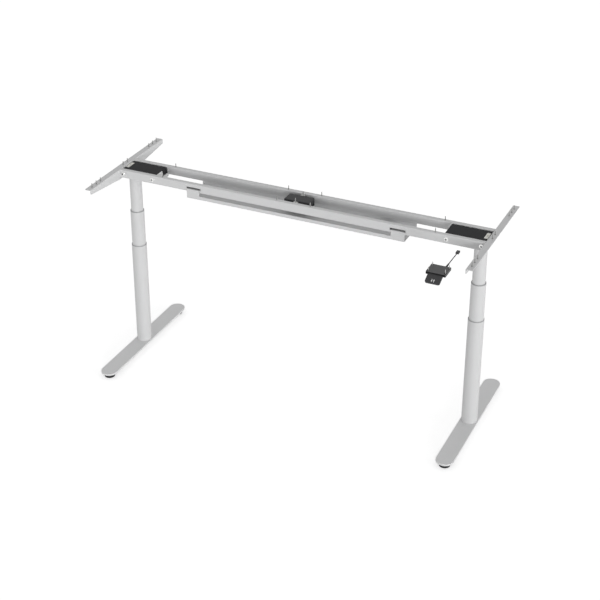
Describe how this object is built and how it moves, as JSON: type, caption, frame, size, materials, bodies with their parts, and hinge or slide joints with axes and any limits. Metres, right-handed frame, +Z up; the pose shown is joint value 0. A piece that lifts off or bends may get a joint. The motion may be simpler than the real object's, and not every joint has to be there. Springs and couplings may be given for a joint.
{
  "type": "standing desk frame",
  "caption": "Height-adjustable desk frame with telescopic round columns, flat feet, rails, side brackets, hooked-in cable tray, control box and a tilting paddle handset.",
  "frame": {"origin": "on the floor, midway between the two column axes", "axes": "+X along the rails to the right, +Y from the sitter's side to the back, +Z up"},
  "size_m": [1.726, 0.7752, 0.9375],
  "materials": {
    "coated_steel": "fine-textured silver grey powder coat",
    "black_moulding": "matt moulded black",
    "bright_steel": "turned bright steel",
    "bright_zinc": "bright zinc plate",
    "grey_nylon": "matt grey nylon",
    "cast_alloy": "as cast",
    "motor_black": "satin black paint",
    "cream_nylon": "matt natural nylon",
    "box_black": "fine spark-textured black",
    "board_green": "green solder mask",
    "handset_black": "satin moulded black",
    "arrow_white": "matt white inlay",
    "cable_rubber": "matt black cable sheath"
  },
  "bodies": {
    "left_base": {"left_foot_plate": "coated_steel", "left_lower_tube": "coated_steel", "left_foot_screws": "bright_steel", "left_lift_screw": "bright_steel", "left_lower_glide_ring": "grey_nylon"},
    "left_front_foot": {"left_front_leveller": "black_moulding"},
    "left_rear_foot": {"left_rear_leveller": "black_moulding"},
    "left_middle": {"left_middle_tube": "coated_steel", "left_middle_glide_plug": "grey_nylon", "left_middle_glide_ring": "grey_nylon"},
    "left_screw": {"left_screw_tube": "bright_steel"},
    "left_drive": {"left_drive_tube": "bright_steel"},
    "right_base": {"right_foot_plate": "coated_steel", "right_lower_tube": "coated_steel", "right_foot_screws": "bright_steel", "right_lift_screw": "bright_steel", "right_lower_glide_ring": "grey_nylon"},
    "right_front_foot": {"right_front_leveller": "black_moulding"},
    "right_rear_foot": {"right_rear_leveller": "black_moulding"},
    "right_middle": {"right_middle_tube": "coated_steel", "right_middle_glide_plug": "grey_nylon", "right_middle_glide_ring": "grey_nylon"},
    "right_screw": {"right_screw_tube": "bright_steel"},
    "right_drive": {"right_drive_tube": "bright_steel"},
    "top_frame": {"left_upper_tube": "coated_steel", "left_upper_glide": "grey_nylon", "left_drive_housing": "coated_steel", "left_gearbox": "cast_alloy", "left_motor": "motor_black", "left_motor_cover": "black_moulding", "left_cover_clip": "cream_nylon", "left_side_bracket": "coated_steel", "right_upper_tube": "coated_steel", "right_upper_glide": "grey_nylon", "right_drive_housing": "coated_steel", "right_gearbox": "cast_alloy", "right_motor": "motor_black", "right_motor_cover": "black_moulding", "right_cover_clip": "cream_nylon", "right_side_bracket": "coated_steel", "front_rail": "coated_steel", "rear_rail": "coated_steel", "frame_bolts": "bright_zinc", "head_screws": "bright_steel", "tabletop_screws": "bright_zinc", "cable_tray": "coated_steel", "control_box_base": "box_black", "control_box_lid": "box_black", "circuit_board": "board_green", "box_strap": "bright_zinc", "handset_plate": "handset_black", "handset_bottom": "handset_black", "handset_board": "board_green", "handset_screws": "bright_zinc", "paddle_pin": "bright_steel", "strain_relief": "cable_rubber", "handset_cable": "cable_rubber", "handset_plug": "handset_black"},
    "paddle_body": {"paddle": "handset_black", "paddle_arrows": "arrow_white"}
  },
  "joints": [
    {"name": "left_middle_slide", "type": "slide", "parent": "left_base", "child": "left_middle", "axis": [0, 0, 1], "range_m": [-0.164, 0.161]},
    {"name": "left_upper_slide", "type": "slide", "parent": "left_middle", "child": "top_frame", "axis": [0, 0, 1], "range_m": [-0.164, 0.161]},
    {"name": "right_upper_slide", "type": "slide", "parent": "top_frame", "child": "right_middle", "axis": [0, 0, -1], "range_m": [-0.164, 0.161]},
    {"name": "right_middle_slide", "type": "slide", "parent": "right_middle", "child": "right_base", "axis": [0, 0, -1], "range_m": [-0.164, 0.161]},
    {"name": "left_screw_turn", "type": "hinge", "parent": "left_middle", "child": "left_screw", "pos_m": [-0.8, 0, 0.4], "axis": [0, 0, 1], "range_deg": [-3692, 3624]},
    {"name": "left_drive_turn", "type": "hinge", "parent": "top_frame", "child": "left_drive", "pos_m": [-0.8, 0, 0.6], "axis": [0, 0, 1], "range_deg": [-7382, 7247]},
    {"name": "right_screw_turn", "type": "hinge", "parent": "right_middle", "child": "right_screw", "pos_m": [0.8, 0, 0.4], "axis": [0, 0, 1], "range_deg": [-3692, 3624]},
    {"name": "right_drive_turn", "type": "hinge", "parent": "top_frame", "child": "right_drive", "pos_m": [0.8, 0, 0.6], "axis": [0, 0, 1], "range_deg": [-7382, 7247]},
    {"name": "left_front_level", "type": "slide", "parent": "left_base", "child": "left_front_foot", "axis": [0, 0, -1], "range_m": [0, 0.005]},
    {"name": "left_rear_level", "type": "slide", "parent": "left_base", "child": "left_rear_foot", "axis": [0, 0, -1], "range_m": [0, 0.005]},
    {"name": "right_front_level", "type": "slide", "parent": "right_base", "child": "right_front_foot", "axis": [0, 0, -1], "range_m": [0, 0.005]},
    {"name": "right_rear_level", "type": "slide", "parent": "right_base", "child": "right_rear_foot", "axis": [0, 0, -1], "range_m": [0, 0.005]},
    {"name": "paddle_tilt", "type": "hinge", "parent": "top_frame", "child": "paddle_body", "pos_m": [0.742, -0.382, 0.9105], "axis": [1, 0, 0], "range_deg": [-7, 7], "stiffness_Nm_per_rad": 0.6}
  ],
  "couplings": [
    {"joint": "left_upper_slide", "follows": "left_middle_slide", "ratio": 1},
    {"joint": "right_upper_slide", "follows": "left_middle_slide", "ratio": 1},
    {"joint": "right_middle_slide", "follows": "left_middle_slide", "ratio": 1},
    {"joint": "left_screw_turn", "follows": "left_middle_slide", "rad_per_m": 392.7},
    {"joint": "left_drive_turn", "follows": "left_middle_slide", "rad_per_m": 785.4},
    {"joint": "right_screw_turn", "follows": "left_middle_slide", "rad_per_m": 392.7},
    {"joint": "right_drive_turn", "follows": "left_middle_slide", "rad_per_m": 785.4}
  ]
}
